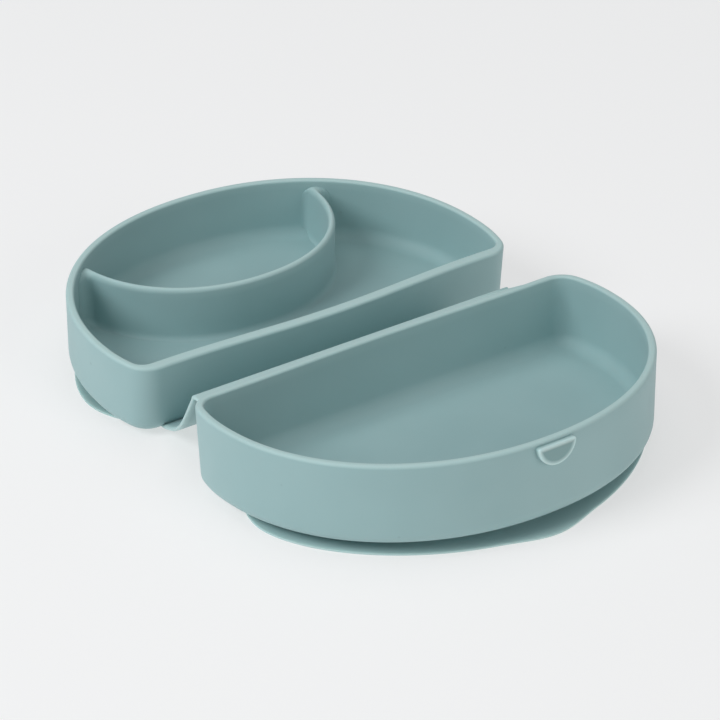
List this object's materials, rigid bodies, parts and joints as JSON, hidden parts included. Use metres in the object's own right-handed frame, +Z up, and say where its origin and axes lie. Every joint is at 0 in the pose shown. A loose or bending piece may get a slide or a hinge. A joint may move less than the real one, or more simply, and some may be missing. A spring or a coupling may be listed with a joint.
{
  "type": "folding suction bowl",
  "caption": "Folding silicone feeding bowl: D-shaped trays joined by a soft hinge web, each on a flared suction base; a curved divider closes off an oval compartment.",
  "frame": {"origin": "on the table, midway along the hinge and midway between the open trays", "axes": "+X along the hinge, +Y from the hinge towards the arc of the rear tray, +Z up"},
  "size_m": [0.2, 0.278, 0.0435],
  "materials": {
    "silicone": "matt moulded silicone, dusty teal"
  },
  "bodies": {
    "rear": {"rear_tray": "silicone", "compartment_divider": "silicone", "rear_suction_base": "silicone"},
    "web_lower": {"hinge_web_lower": "silicone"},
    "web_upper": {"hinge_web_upper": "silicone"},
    "front": {"front_tray": "silicone", "front_suction_base": "silicone", "thumb_tab": "silicone", "hinge_web_hem": "silicone"}
  },
  "joints": [
    {"name": "fold_rear", "type": "hinge", "parent": "rear", "child": "web_lower", "pos_m": [0, 0.0194, 0.0036], "axis": [-1, 0, 0], "range_deg": [0, 14.5]},
    {"name": "fold_middle", "type": "hinge", "parent": "web_lower", "child": "web_upper", "pos_m": [0, -0.00428, 0.01942], "axis": [-1, 0, 0], "range_deg": [0, 78]},
    {"name": "fold_front", "type": "hinge", "parent": "web_upper", "child": "front", "pos_m": [0, -0.0159, 0.0356], "axis": [-1, 0, 0], "range_deg": [0, 87.13]}
  ],
  "couplings": [
    {"joint": "fold_rear", "follows": "fold_front", "ratio": 0.15258},
    {"joint": "fold_middle", "follows": "fold_front", "ratio": 0.85192}
  ]
}
